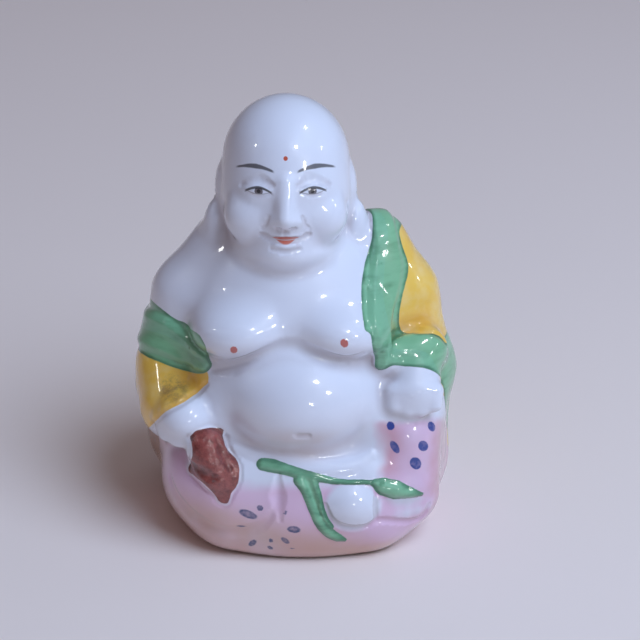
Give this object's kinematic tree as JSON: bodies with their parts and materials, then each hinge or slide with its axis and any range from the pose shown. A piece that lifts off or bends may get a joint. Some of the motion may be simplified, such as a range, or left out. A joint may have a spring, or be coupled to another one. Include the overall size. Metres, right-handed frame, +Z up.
{
  "type": "porcelain buddha figure",
  "caption": "Small glazed porcelain figure of a seated laughing buddha in a slipped robe, one hand on a sack and one on a raised knee, on a flat base.",
  "frame": {"origin": "middle of the figure's outline, on the plane of its flat underside", "axes": "+Z up through the head, -Y towards the viewer that the figure faces, +X to that viewer's right, on the side of the raised knee"},
  "size_m": [0.049, 0.0388, 0.0658],
  "materials": {
    "glazed_porcelain": null
  },
  "bodies": {
    "root": {"buddha_figure": "glazed_porcelain"}
  },
  "joints": []
}
